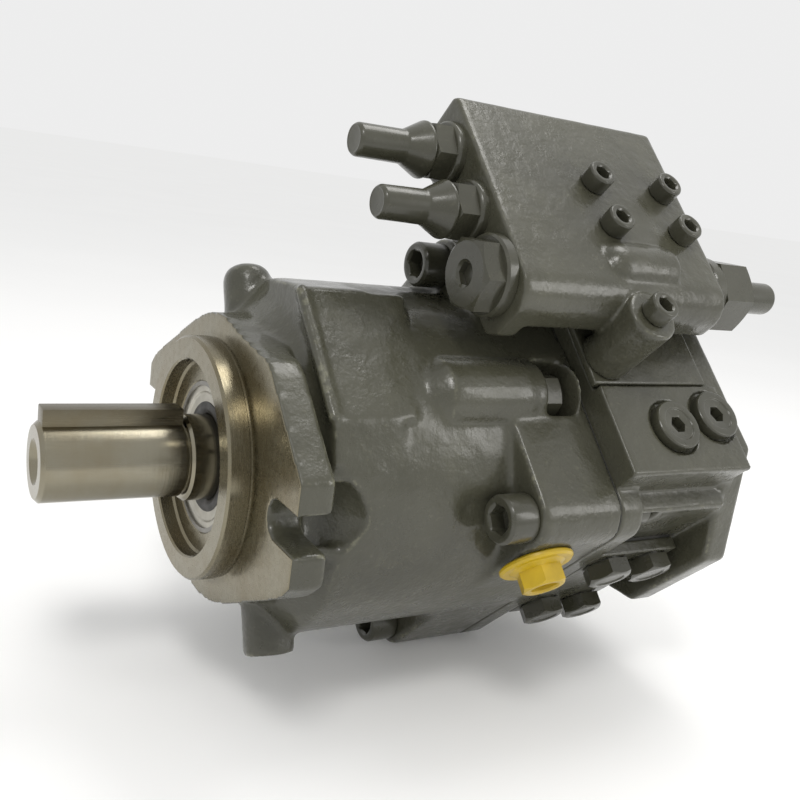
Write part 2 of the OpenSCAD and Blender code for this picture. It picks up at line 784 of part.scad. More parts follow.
module power_plug() color(paint) valve_side() translate([0, bore_side[2], bore_up]) difference() {
    union() {
        hex_rod(34, block_x0 - 18, block_x0 - 6);
        rod(21, block_x0 - 7, block_x0);
        rod(power_bore_r, block_x0 - eps, block_x0 + 14);
    }
    rod(6, block_x0 - 19, block_x0 - 14);
}

module power_adjuster_nut() color(dark_paint) valve_side() translate([0, bore_side[2], bore_up])
    difference() {
        union() {
            rod(20.8, block_x1, block_x1 + 8);
            hex_rod(38, block_x1 + 8 - eps, block_x1 + 32);
        }
        rod(8, block_x1 - 1, block_x1 + 33);
    }

module power_adjuster() color(dark_paint) valve_side() translate([0, bore_side[2], bore_up]) {
    rod(8, block_x1 - 24, block_x1 + 32 + eps);
    rod(9.5, block_x1 + 32, block_x1 + 64);
    taper(9.5, 6, block_x1 + 64 - eps, block_x1 + 68);
}

module gallery_plug() color(dark_paint) valve_side()
    translate([130, block_side1 - 8, bore_up + 8]) rotate([-90, 0, 0]) {
        cylinder(r = 5, h = 9);
        translate([0, 0, 8]) cylinder(r = 8, h = 3);
    }

housing();
shaft_seal();
seal_snap_ring();
drive_shaft();
shaft_key();
front_bearing_cup();
front_bearing_rollers();
front_bearing_cone();
rear_bearing_cup();
rear_bearing_rollers();
rear_bearing_cone();
rocker_shells();
swashplate();
slipper_retainer();
retainer_ball();
slippers();
pistons();
cylinder_block();
block_spring();
valve_plate();
stroking_sleeve();
stroking_piston();
stroking_cap();
bias_guide();
bias_piston();
bias_spring();
joint_gasket();
port_plate();
through_bolts();
port_plugs();
rear_cover();
rear_cover_screws();
closing_cap();
drain_plug();
pressure_gasket();
pressure_cover();
pressure_cover_bolts();
control_gasket();
control_adapter();
control_block();
control_screws();
pressure_spool();
flow_spool();
pressure_spring();
flow_spring();
power_piston();
power_spring();
adjusting_screws();
lock_nuts();
lock_washers();
pressure_cap();
flow_cap();
power_plug();
power_adjuster_nut();
power_adjuster();
gallery_plug();
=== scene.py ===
"""Looks of the axial piston pump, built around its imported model, in metres in the record's frame."""
import json
import math

import bmesh
import bpy
import numpy as np
from mathutils import Matrix, Vector, bvhtree, noise

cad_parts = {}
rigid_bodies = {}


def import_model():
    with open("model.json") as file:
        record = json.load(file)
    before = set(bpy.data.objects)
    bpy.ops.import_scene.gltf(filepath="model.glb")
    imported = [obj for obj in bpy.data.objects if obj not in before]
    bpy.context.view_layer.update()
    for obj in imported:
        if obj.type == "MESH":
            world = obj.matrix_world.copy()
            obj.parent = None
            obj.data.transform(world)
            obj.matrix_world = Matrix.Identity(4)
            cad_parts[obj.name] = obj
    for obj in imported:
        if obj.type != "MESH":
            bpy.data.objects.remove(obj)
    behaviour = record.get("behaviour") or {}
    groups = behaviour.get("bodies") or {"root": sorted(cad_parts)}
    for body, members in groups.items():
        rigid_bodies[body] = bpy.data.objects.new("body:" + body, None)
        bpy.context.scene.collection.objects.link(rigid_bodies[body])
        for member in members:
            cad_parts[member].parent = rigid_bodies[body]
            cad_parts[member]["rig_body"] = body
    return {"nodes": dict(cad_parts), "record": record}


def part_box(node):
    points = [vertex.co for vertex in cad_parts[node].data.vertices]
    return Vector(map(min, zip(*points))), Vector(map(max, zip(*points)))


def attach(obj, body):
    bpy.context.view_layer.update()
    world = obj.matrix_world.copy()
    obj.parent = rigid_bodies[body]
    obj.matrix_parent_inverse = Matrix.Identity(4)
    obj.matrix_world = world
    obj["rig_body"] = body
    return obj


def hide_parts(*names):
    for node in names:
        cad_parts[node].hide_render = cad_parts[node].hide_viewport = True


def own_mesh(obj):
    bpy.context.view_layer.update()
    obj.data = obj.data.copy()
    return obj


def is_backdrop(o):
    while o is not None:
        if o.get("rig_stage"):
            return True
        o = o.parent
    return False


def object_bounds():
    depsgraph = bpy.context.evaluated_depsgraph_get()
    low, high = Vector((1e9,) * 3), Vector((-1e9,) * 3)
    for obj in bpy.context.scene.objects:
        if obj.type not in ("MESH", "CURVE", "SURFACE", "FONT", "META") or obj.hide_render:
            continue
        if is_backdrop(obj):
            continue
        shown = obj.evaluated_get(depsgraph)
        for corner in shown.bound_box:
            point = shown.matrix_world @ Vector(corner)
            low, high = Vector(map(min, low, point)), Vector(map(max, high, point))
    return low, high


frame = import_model()
CAD_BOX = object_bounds()

MM = 0.001
SEGMENTS = 60            # points round a turned piece; a multiple of 12, so hexagons keep their corners
TURN = Matrix.Rotation(math.radians(45), 3, "X")     # valve side's axes (x, side, up) to the row frame
DRIVE = Vector((-1, 0, 0))                           # out of the flange
REAR = Vector((1, 0, 0))
UP = TURN @ Vector((0, 0, 1))
SIDE = TURN @ Vector((0, 1, 0))
MOUNTS = {m["name"]: m for m in frame["record"]["mounts"]}
PILOT_R = MOUNTS["pilot"]["dims"]["r_mm"] * MM
PILOT_LEN = MOUNTS["pilot"]["dims"]["length_mm"] * MM
SHAFT_R = MOUNTS["keyed_shaft"]["dims"]["r_mm"] * MM
THREAD_R = MOUNTS["shaft_end_thread"]["dims"]["r_mm"] * MM


# ---------- materials ----------

class Shader:
    """A node material: a Principled shader and the few helpers that its pattern needs."""

    def __init__(self, name, metallic, roughness, **sockets):
        self.mat = bpy.data.materials.new(name)
        self.mat.use_nodes = True
        self.nodes = self.mat.node_tree.nodes
        self.links = self.mat.node_tree.links
        self.bsdf = self.nodes["Principled BSDF"]
        self.bsdf.inputs["Metallic"].default_value = metallic
        self.bsdf.inputs["Roughness"].default_value = roughness
        for key, value in sockets.items():
            self.bsdf.inputs[key.replace("_", " ")].default_value = value
        self.coord = self.nodes.new("ShaderNodeTexCoord").outputs["Object"]

    def add(self, kind, links=(), **values):
        node = self.nodes.new(kind)
        for key, value in values.items():
            if hasattr(node, key):
                setattr(node, key, value)
            else:
                node.inputs[key.replace("_", " ")].default_value = value
        for socket, source in dict(links).items():
            self.links.new(source, node.inputs[socket])
        return node

    def noise(self, scale, detail=3, roughness=0.5, vector=None):
        node = self.add("ShaderNodeTexNoise", {"Vector": vector or self.coord})
        node.inputs["Scale"].default_value = scale
        node.inputs["Detail"].default_value = detail
        node.inputs["Roughness"].default_value = roughness
        return node.outputs["Fac"]

    def stretched(self, factors):
        node = self.add("ShaderNodeMapping", {"Vector": self.coord})
        node.inputs["Scale"].default_value = factors
        return node.outputs["Vector"]

    def span(self, value, low, high, to_low, to_high):
        """value brought from low..high to to_low..to_high."""
        node = self.add("ShaderNodeMapRange", {"Value": value})
        limits = {"From Min": low, "From Max": high, "To Min": to_low, "To Max": to_high}
        for key, number in limits.items():
            node.inputs[key].default_value = number
        return node.outputs["Result"]

    def mix(self, factor, dark, light):
        """Blend of two colours, each a colour or another node's output."""
        node = self.nodes.new("ShaderNodeMix")
        node.data_type = "RGBA"
        self.links.new(factor, node.inputs["Factor"])
        for socket, colour in ((node.inputs[6], dark), (node.inputs[7], light)):
            if isinstance(colour, tuple):
                socket.default_value = (*colour, 1)
            else:
                self.links.new(colour, socket)
        return node.outputs[2]

    def colour(self, source):
        self.links.new(source, self.bsdf.inputs["Base Color"])

    def rough(self, source):
        self.links.new(source, self.bsdf.inputs["Roughness"])

    def bump(self, *layers):
        """Bump from (height, depth in metres) layers, the broad one first."""
        normal = None
        for height, depth in layers:
            node = self.add("ShaderNodeBump", {"Height": height})
            node.inputs["Distance"].default_value = depth
            if normal:
                self.links.new(normal, node.inputs["Normal"])
            normal = node.outputs["Normal"]
        self.links.new(normal, self.bsdf.inputs["Normal"])


def scaled(colour, factor):
    return tuple(min(1, c * factor) for c in colour)


def painted(name, base, cast_depth, wear):
    """Semi-gloss paint; on castings the rough skin shows through it, and edges are rubbed."""
    s = Shader(name, 0.0, 0.4, Coat_Weight=0.3, Coat_Roughness=0.12, Specular_IOR_Level=0.4)
    clouds = s.span(s.noise(14, 4), 0.3, 0.7, 0, 1)
    tone = s.mix(clouds, scaled(base, 0.8), scaled(base, 1.2))
    speck = s.span(s.noise(420, 2), 0.62, 0.76, 0, 0.4)
    tone = s.mix(speck, tone, scaled(base, 1.9))
    dust = s.span(s.noise(48, 5, 0.65), 0.55, 0.8, 0, 0.3)
    tone = s.mix(dust, tone, scaled(base, 2.2))
    edge = s.add("ShaderNodeAttribute", attribute_name="edge").outputs["Fac"]
    rubbed = s.add("ShaderNodeMath", operation="MULTIPLY")
    s.links.new(s.span(edge, 0.35, 1.0, 0, 1), rubbed.inputs[0])
    s.links.new(s.span(s.noise(160, 4, 0.7), 0.5, 0.62, 0, wear), rubbed.inputs[1])
    s.colour(s.mix(rubbed.outputs[0], tone, scaled(base, 4)))
    s.rough(s.span(s.noise(60, 5, 0.6), 0.3, 0.7, 0.2, 0.42))
    s.bump((s.noise(80, 3), cast_depth * 9),
           (s.noise(420, 3, 0.6), cast_depth * 2.2),
           (s.noise(1500, 2), cast_depth * 0.35))
    return s.mat


def turned(name, base, rings, rough_low, rough_high, streak=(2, 60, 60)):
    """Machined metal: tool marks round X, stains and a slight change of gloss."""
    s = Shader(name, 1.0, 0.3)
    marks = s.noise(9, 4, vector=s.stretched((rings, 0.4, 0.4)))
    stain = s.span(s.noise(34, 5, 0.6), 0.4, 0.75, 0, 1)
    tone = s.mix(marks, scaled(base, 0.86), scaled(base, 1.1))
    s.colour(s.mix(stain, tone, tuple(c * f for c, f in zip(base, (0.86, 0.8, 0.7)))))
    s.rough(s.span(s.noise(30, 4, 0.6, vector=s.stretched(streak)), 0.3, 0.7, rough_low, rough_high))
    s.bump((marks, 0.00004), (s.noise(700, 2), 0.00001))
    return s.mat


def plain_metal(name, base, rough_low, rough_high, depth):
    """Ground, drawn or cast metal with no direction in its marks."""
    s = Shader(name, 1.0, 0.35)
    s.colour(s.mix(s.span(s.noise(90, 5, 0.6), 0.3, 0.7, 0, 1), scaled(base, 0.75), base))
    s.rough(s.span(s.noise(150, 4), 0.3, 0.7, rough_low, rough_high))
    s.bump((s.noise(600, 3), depth))
    return s.mat


def soft_sheet(name, base, rough, depth, grain):
    """Rubber, fibre and moulded plastic."""
    s = Shader(name, 0.0, rough)
    s.colour(s.mix(s.span(s.noise(grain, 4, 0.6), 0.3, 0.7, 0, 1), scaled(base, 0.7), base))
    s.rough(s.span(s.noise(grain * 0.6, 3), 0.3, 0.7, rough * 0.8, min(1, rough * 1.25)))
    s.bump((s.noise(grain * 4, 3), depth))
    return s.mat


PAINT = (0.054, 0.053, 0.036)
CAST = painted("casting_paint", PAINT, 0.00012, 0.6)
HARDWARE = painted("hardware_paint", scaled(PAINT, 0.85), 0.00003, 0.5)
STEEL = turned("turned_steel", (0.27, 0.252, 0.195), 240, 0.14, 0.27)
FACE = turned("machined_iron", (0.225, 0.205, 0.148), 60, 0.19, 0.34, (60, 8, 8))
KEY = turned("key_steel", (0.17, 0.155, 0.115), 3, 0.24, 0.4, (3, 90, 90))
BEARING = plain_metal("bearing_steel", (0.72, 0.72, 0.7), 0.12, 0.24, 0.000008)
SPRING = plain_metal("spring_steel", (0.3, 0.29, 0.27), 0.3, 0.5, 0.00002)
BRONZE = plain_metal("bearing_bronze", (0.62, 0.42, 0.2), 0.25, 0.42, 0.00002)
IRON = plain_metal("rotor_iron", (0.42, 0.41, 0.38), 0.32, 0.5, 0.00003)
SEAL_CASE = plain_metal("seal_case", (0.5, 0.48, 0.42), 0.28, 0.45, 0.00002)
GASKET = soft_sheet("gasket_sheet", (0.05, 0.05, 0.045), 0.7, 0.00005, 300)
RUBBER = soft_sheet("seal_rubber", (0.035, 0.033, 0.03), 0.5, 0.00003, 260)
PLASTIC = soft_sheet("yellow_plastic", (0.56, 0.38, 0.01), 0.34, 0.00002, 60)


# ---------- mesh helpers ----------

def basis(axis):
    """Rotation that takes Z to axis."""
    return axis.to_track_quat("Z", "X").to_matrix()


def welded(node):
    """The node's mesh as a bmesh, with its split corners joined."""
    bm = bmesh.new()
    bm.from_mesh(frame["nodes"][node].data)
    bmesh.ops.remove_doubles(bm, verts=bm.verts, dist=1e-6)
    return bm


def islands(bm):
    """The separate solids of a bmesh, as lists of points."""
    left = set(bm.verts)
    while left:
        stack, group = [left.pop()], []
        while stack:
            v = stack.pop()
            group.append(v.co.copy())
            for e in v.link_edges:
                w = e.other_vert(v)
                if w in left:
                    left.discard(w)
                    stack.append(w)
        yield group


def solids(node, axis):
    """(place, radius, length) of each solid of a node: place has its origin at the solid's end
    along axis and its Z along axis, and length runs back from there."""
    turn = basis(axis)
    bm = welded(node)
    found = []
    for group in islands(bm):
        points = [turn.transposed() @ p for p in group]
        lo, hi = (Vector(map(f, zip(*points))) for f in (min, max))
        end = Vector(((lo.x + hi.x) / 2, (lo.y + hi.y) / 2, hi.z))
        place = Matrix.Translation(turn @ end) @ turn.to_4x4()
        found.append((place, (hi.x - lo.x) / 2, hi.z - lo.z))
    bm.free()
    return sorted(found, key=lambda s: tuple(s[0].translation))


def ring(radius, z):
    """Points round Z. radius and z are numbers or functions of the angle."""
    points = []
    for k in range(SEGMENTS):
        t = 2 * math.pi * k / SEGMENTS
        r = radius(t) if callable(radius) else radius
        points.append(Vector((r * math.cos(t), r * math.sin(t), z(t) if callable(z) else z)))
    return points


def hexagon(across):
    """Radius of a hexagon of that width across its flats, as a function of the angle."""
    return lambda t: across / 2 / math.cos((t + math.pi / 6) % (math.pi / 3) - math.pi / 6)


def crowned(across, z, shrink=0.95):
    """Two rings of a hexagon's chamfered end at height z, the outer one first; it rises to z."""
    inner = across / 2 * shrink
    corner = hexagon(across)
    slope = math.tan(math.radians(30))
    return [ring(corner, lambda t: z - (corner(t) - inner) * slope), ring(inner, z)]


def rounded_turn(points, radius, steps=4):
    """A turned profile of (radius, z) points with each inner corner rounded."""
    out = [points[0]]
    for a, b, c in zip(points, points[1:], points[2:]):
        p, q, r = Vector(a), Vector(b), Vector(c)
        cut = min(radius, (p - q).length * 0.45, (r - q).length * 0.45)
        start, end = q + (p - q).normalized() * cut, q + (r - q).normalized() * cut
        for i in range(steps + 1):
            t = i / steps
            out.append(tuple((1 - t) ** 2 * start + 2 * t * (1 - t) * q + t ** 2 * end))
    return out + [points[-1]]


def turn_rings(points):
    """Rings of a turned profile of (radius, z) points."""
    return [ring(r, z) for r, z in points]


def skin(bm, rings, place, hollow=False):
    """Adds a closed skin through the rings. hollow joins the last ring to the first."""
    rows = [[bm.verts.new(place @ p) for p in r] for r in rings]
    pairs = list(zip(rows, rows[1:]))
    if hollow:
        pairs.append((rows[-1], rows[0]))
    made = []
    for a, b in pairs:
        for j in range(len(a)):
            k = (j + 1) % len(a)
            made.append(bm.faces.new((a[j], a[k], b[k], b[j])))
    if not hollow:
        made.append(bm.faces.new(list(reversed(rows[0]))))
        made.append(bm.faces.new(rows[-1]))
    bmesh.ops.recalc_face_normals(bm, faces=made)


def place_piece(name, mesh, node, materials, replaces=True, sharp=38):
    """The mesh as an object on the node's body, with the given materials, and in the node's stead."""
    obj = bpy.data.objects.new(name, mesh)
    bpy.context.scene.collection.objects.link(obj)
    for m in materials:
        mesh.materials.append(m)
    mesh.shade_smooth()
    mesh.set_sharp_from_angle(angle=math.radians(sharp))
    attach(obj, frame["nodes"][node]["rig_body"])
    if replaces:
        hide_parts(node)
    return obj


def piece(name, node, material, skins, **options):
    """One object from a list of (rings, place, hollow)."""
    bm = bmesh.new()
    for rings, place, hollow in skins:
        skin(bm, rings, place, hollow)
    mesh = bpy.data.meshes.new(name)
    bm.to_mesh(mesh)
    bm.free()
    return place_piece(name, mesh, node, [material], **options)


# ---------- castings ----------

def relaxed(co, edges, weight, rounds):
    """Laplacian smoothing, which rounds edges and fills inner corners like a casting's."""
    count = len(co)
    degree = np.bincount(edges.ravel(), minlength=count)[:, None]
    for _ in range(rounds):
        total = np.empty_like(co)
        for k in range(3):
            total[:, k] = (np.bincount(edges[:, 0], co[edges[:, 1], k], count)
                           + np.bincount(edges[:, 1], co[edges[:, 0], k], count))
        co = co + weight[:, None] * 0.5 * (total / degree - co)
    return co


RIPPLE = 0.1 * MM                                # unevenness of a cast skin
LEAST_REACH = 0.05 * MM                          # an edge counts as rounded beyond this
FULL_REACH = 0.9 * MM                            # and as fully rubbed from this on


def cast(name, node, voxel, rounds, crisp=(), extras=None, cut=None, metal=None):
    """The node as a rough casting: edges rounded, inner corners filled, a slightly uneven skin.
    crisp holds (axis, offset, reach) planes whose machined edges stay sharp, extras adds to the
    source, cut is a plane that ends it, and metal says which faces are bare."""
    bm = welded(node)
    if cut:
        point, normal = cut
        geom = bm.verts[:] + bm.edges[:] + bm.faces[:]
        split = bmesh.ops.bisect_plane(bm, geom=geom, plane_co=point, plane_no=normal,
                                       clear_outer=True)
        rim = [e for e in split["geom_cut"] if isinstance(e, bmesh.types.BMEdge)]
        bmesh.ops.triangle_fill(bm, edges=rim, use_beauty=True)
    if extras:
        extras(bm)
    source = bpy.data.meshes.new(name + "_source")
    bm.to_mesh(source)
    tree = bvhtree.BVHTree.FromBMesh(bm)
    bm.free()
    temp = bpy.data.objects.new(name + "_source", source)
    bpy.context.scene.collection.objects.link(temp)
    remesh = temp.modifiers.new("remesh", "REMESH")
    remesh.mode = "VOXEL"
    remesh.voxel_size = voxel
    mesh = bpy.data.meshes.new_from_object(temp.evaluated_get(bpy.context.evaluated_depsgraph_get()))
    mesh.name = name
    bpy.data.objects.remove(temp)
    count = len(mesh.vertices)
    co = np.empty(count * 3)
    mesh.vertices.foreach_get("co", co)
    co = co.reshape(-1, 3)
    edges = np.empty(len(mesh.edges) * 2, int)
    mesh.edges.foreach_get("vertices", edges)
    weight = np.ones(count)
    for axis, offset, reach in crisp:
        near = np.abs(co @ np.array(axis) - offset) < reach
        weight[near] = 0.1
    co = relaxed(co, edges.reshape(-1, 2), weight, rounds)
    mesh.vertices.foreach_set("co", co.ravel())
    mesh.update()
    normals = [v.normal.copy() for v in mesh.vertices]
    edge = np.zeros(count)
    for i, v in enumerate(mesh.vertices):
        foot, normal, _, distance = tree.find_nearest(v.co)
        if foot is not None and distance > LEAST_REACH and (v.co - foot).dot(normal) < 0:
            edge[i] = min(1.0, distance / FULL_REACH)
        height = noise.noise(v.co * 90) + 0.4 * noise.noise(v.co * 260)
        v.co += normals[i] * (height * RIPPLE * weight[i])
    mesh.attributes.new("edge", "FLOAT", "POINT").data.foreach_set("value", edge)
    mesh.update()
    place_piece(name, mesh, node, [CAST, FACE], sharp=180)
    if metal:
        for f in mesh.polygons:
            if metal(f.center, f.normal):
                f.material_index = 1


def bar(bm, a, b, radius):
    """Adds a round bar from a to b to a casting's source, which the casting then blends in."""
    axis, length = (b - a).normalized(), (b - a).length
    place = Matrix.Translation(a) @ basis(axis).to_4x4()
    skin(bm, turn_rings([(radius * 0.5, -radius * 0.5), (radius, 0), (radius, length),
                         (radius * 0.5, length + radius * 0.5)]), place)


def valve(x, side, up):
    """A point given in the valve side's axes, in millimetres."""
    return TURN @ Vector((x, side, up)) * MM


JOINT_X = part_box("joint_gasket")[0].x
GASKET_T = 0.5 * MM
PLUG_FACE_UP = 110 * MM                          # port plate's face with the two plugs
PORT_SIDE = 84 * MM                              # suction port's face
EAR_END = 195.5 * MM                             # port plate from its ears to its rear flange
REAR_FLANGE_X = 261 * MM
SPIGOT_CUT = -0.7 * MM                           # the turned pilot ring takes over from here
FACE_MATCH = 0.8                                 # least cosine between a face and its plane
ALONG_X = tuple(REAR)

RIM_X, RIM_SIDES, RIM_UP = 25.5, (44, -30), 93.8           # bead along the facet's front, mm
RIM_R = 3.2 * MM
WEB_HEIGHTS = (-17, 17)                                    # webs behind the visible slot, mm
WEB_START, WEB_END = (18, -88), (50, -92)
WEB_SPREAD = 1.25
WEB_R = 3 * MM


def housing_extras(bm):
    """Bead along the facet's edge and the two webs that lead from the slot into the casing."""
    start, end = (valve(RIM_X, side, RIM_UP) for side in RIM_SIDES)
    bar(bm, start, end, RIM_R)
    for z in WEB_HEIGHTS:
        bar(bm, Vector((*WEB_START, z)) * MM, Vector((*WEB_END, z * WEB_SPREAD)) * MM, WEB_R)


def on_flange_face(c, n):
    return c.x < 0.5 * MM and n.x < -FACE_MATCH


def on_port_face(c, n):
    beside = abs(c.dot(SIDE) - PORT_SIDE) < 0.8 * MM
    return n.dot(SIDE) > FACE_MATCH and beside and EAR_END < c.x < REAR_FLANGE_X


cast("housing_casting", "housing", 1.4 * MM, 12,
     crisp=[(ALONG_X, JOINT_X, 2.2 * MM), (ALONG_X, 0.0, 1.0 * MM)],
     extras=housing_extras, cut=(Vector((SPIGOT_CUT, 0, 0)), DRIVE), metal=on_flange_face)
cast("port_plate_casting", "port_plate", 1.2 * MM, 11,
     crisp=[(ALONG_X, JOINT_X + GASKET_T, 2.2 * MM), (tuple(UP), PLUG_FACE_UP, 3.4 * MM)],
     metal=on_port_face)
cast("control_block_casting", "control_block", 1.0 * MM, 9)
cast("rear_cover_casting", "rear_cover", 1.2 * MM, 6)
cast("pressure_cover_plate", "pressure_cover", 0.8 * MM, 4)
cast("adapter_plate", "control_adapter", 0.8 * MM, 4)


# ---------- pilot, shaft and seal ----------

AXIAL = basis(REAR).to_4x4()                     # turned pieces on the shaft axis, Z along +X
RECESS_R = 51 * MM
SEAL_R = 39.5 * MM
RECESS_X = -4 * MM


def pilot_ring():
    root = 1.5 * MM                              # depth to which the ring enters the casting
    groove_r = PILOT_R - 0.35 * MM
    lead, lip, fillet = 1.3 * MM, 0.9 * MM, 1.2 * MM
    profile = [(PILOT_R, root), (groove_r, 0.2 * MM), (groove_r, -1.6 * MM), (PILOT_R, -2.0 * MM),
               (PILOT_R, lead - PILOT_LEN), (PILOT_R - lead, -PILOT_LEN),
               (RECESS_R + lip, -PILOT_LEN), (RECESS_R, lip - PILOT_LEN),
               (RECESS_R, RECESS_X - fillet), (RECESS_R - fillet, RECESS_X),
               (SEAL_R + 0.8 * MM, RECESS_X), (SEAL_R, RECESS_X + 0.8 * MM), (SEAL_R, root)]
    piece("pilot_ring", "housing", FACE, [(turn_rings(profile), AXIAL, True)],
          replaces=False, sharp=25)


def shaft():
    lo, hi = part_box("drive_shaft")
    seal, bearing, spline, journal = 22.5 * MM, 24.5 * MM, 18 * MM, 15 * MM
    undercut = SHAFT_R - 0.9 * MM
    mouth, chamfer, end_chamfer = 11 * MM, 2 * MM, 1.5 * MM
    tapped_hole = [(0.2 * MM, lo.x + 40 * MM), (THREAD_R, lo.x + 38 * MM),
                   (THREAD_R, lo.x + 4.4 * MM), (mouth, lo.x + 0.4 * MM), (mouth + 0.4 * MM, lo.x)]
    shaft_end = [(SHAFT_R - chamfer, lo.x), (SHAFT_R, lo.x + chamfer), (SHAFT_R, -17.6 * MM),
                 (undercut, -17.0 * MM), (undercut, -16.0 * MM)]
    seats = [(seal - 1.4 * MM, -15.6 * MM), (seal, -14.2 * MM), (seal, 32.8 * MM),
             (bearing, 33.4 * MM), (bearing, 56.6 * MM), (spline, 57 * MM), (spline, 171.5 * MM),
             (journal, 172 * MM), (journal, hi.x - end_chamfer), (journal - end_chamfer, hi.x)]
    rings = turn_rings(tapped_hole + shaft_end + seats)
    piece("shaft_turned", "drive_shaft", STEEL, [(rings, AXIAL, False)], sharp=25)


def shaft_key():
    lo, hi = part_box("shaft_key")
    bm = bmesh.new()
    bmesh.ops.create_cube(bm, size=1.0)
    for v in bm.verts:
        v.co = Vector((lo[i] + (v.co[i] + 0.5) * (hi[i] - lo[i]) for i in range(3)))
    bmesh.ops.bevel(bm, geom=bm.edges[:], offset=0.7 * MM, segments=2, affect="EDGES",
                    profile=0.6)
    mesh = bpy.data.meshes.new("key_ground")
    bm.to_mesh(mesh)
    bm.free()
    place_piece("key_ground", mesh, "shaft_key", [KEY], sharp=25)


def seal():
    lo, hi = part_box("shaft_seal")
    lip = 22.55 * MM
    web_r, web_x, web_end = 28.5 * MM, lo.x + 1.0 * MM, lo.x + 2.2 * MM
    case = rounded_turn([(SEAL_R - 0.3 * MM, hi.x), (SEAL_R, hi.x - 1 * MM),
                         (SEAL_R, lo.x + 0.6 * MM), (SEAL_R - 0.8 * MM, lo.x),
                         (34.5 * MM, lo.x), (33.6 * MM, web_x), (web_r, web_x), (web_r, web_end),
                         (35 * MM, web_end), (37.5 * MM, hi.x)], 0.6 * MM)
    rubber = rounded_turn([(28.9 * MM, lo.x + 0.7 * MM), (25.5 * MM, lo.x + 0.2 * MM),
                           (lip, lo.x + 1.6 * MM), (lip + 0.6 * MM, lo.x + 5.5 * MM),
                           (26.5 * MM, lo.x + 6.2 * MM), (29.5 * MM, lo.x + 2.6 * MM)], 0.5 * MM)
    piece("seal_case", "shaft_seal", SEAL_CASE, [(turn_rings(case), AXIAL, True)], sharp=50)
    piece("seal_lip", "shaft_seal", RUBBER, [(turn_rings(rubber), AXIAL, True)], sharp=50)


# ---------- screws, nuts and plugs ----------

def socket_head(radius, length, head_h, across, shank_r):
    """Rings of a socket head screw, its head's top at z = 0."""
    key = hexagon(across)
    body = rounded_turn([(shank_r, -length), (shank_r, -head_h), (radius - 0.6 * MM, -head_h),
                         (radius, -head_h + 0.6 * MM), (radius, -0.1 * head_h), (radius * 0.9, 0),
                         (across * 0.66, 0)], 0.35 * MM, 2)
    bore = [ring(across * 0.6, -0.25 * MM), ring(key, -across * 0.1), ring(key, -head_h * 0.55),
            ring(across * 0.1, -head_h * 0.62)]
    return turn_rings(body) + bore


def socket_screws(name, node, axis, head_ratio, across_ratio, shank_ratio):
    """Socket screws of a node; the ratios are to the head's radius."""
    skins = []
    for place, radius, length in solids(node, axis):
        head_h, across, shank_r = (radius * f for f in (head_ratio, across_ratio, shank_ratio))
        skins.append((socket_head(radius, length, head_h, across, shank_r), place, False))
    piece(name, node, HARDWARE, skins)


def hex_head(across, length, head_h, shank_r):
    """Rings of a hexagon screw with a washer face, its head's top at z = 0."""
    corner = hexagon(across)
    dish, washer = across * 0.36, across * 0.47
    return (turn_rings([(shank_r, -length), (shank_r, -head_h), (washer, -head_h),
                        (washer, -head_h + 0.6 * MM)])
            + [ring(corner, -head_h + 0.9 * MM)] + crowned(across, 0)
            + turn_rings([(dish, 0), (dish * 0.93, -0.6 * MM), (0.4 * MM, -0.7 * MM)]))


def through_bolts():
    """M16 socket screws: head height, width across flats and shank radius over head radius."""
    head_r = 12.6
    socket_screws("through_bolt_screws", "through_bolts", DRIVE, 17 / head_r, 14 / head_r, 8 / head_r)


def cover_bolts():
    skins = []
    across, head_h, shank_r = 24 * MM, 10 * MM, 5.9 * MM
    for place, _, length in solids("pressure_cover_bolts", -SIDE):
        skins.append((hex_head(across, length, head_h, shank_r), place, False))
    piece("cover_hexagon_screws", "pressure_cover_bolts", HARDWARE, skins)


def lock_nuts():
    skins = []
    across, bore, chamfer = 28 * MM, 5.1 * MM, 0.8 * MM
    for place, _, length in solids("lock_nuts", DRIVE):
        outer = [ring(bore + chamfer, 0)] + list(reversed(crowned(across, 0)))
        low = [ring(hexagon(across), -length), ring(bore, -length), ring(bore, -chamfer)]
        skins.append((outer + low, place, True))
    piece("compensator_lock_nuts", "lock_nuts", HARDWARE, skins)


def lock_washers():
    skins = []
    inner = 5.2 * MM
    for place, radius, length in solids("lock_washers", DRIVE):
        profile = rounded_turn([(inner, 0), (radius * 0.93, 0), (radius, -0.3 * length),
                                (radius, -length)], 0.7 * MM)
        skins.append((turn_rings(profile + [(inner, -length)]), place, True))
    piece("compensator_washers", "lock_washers", HARDWARE, skins)


def adjuster_cap(name, node):
    place, radius, length = solids(node, DRIVE)[0]
    tip, barrel, wall = 8.0 * MM, 8.9 * MM, 5.5 * MM
    flare_top, rim = 13 * MM, 1.4 * MM
    profile = rounded_turn([(0.3 * MM, -0.5 * MM), (tip - 1.6 * MM, -0.3 * MM), (tip - 0.7 * MM, 0),
                            (barrel - 0.3 * MM, -1.6 * MM), (barrel, -length + flare_top),
                            (radius, -length + rim), (radius, -length), (wall, -length)], 1.0 * MM)
    piece(name, node, HARDWARE, [(turn_rings(profile), place, False)], sharp=30)


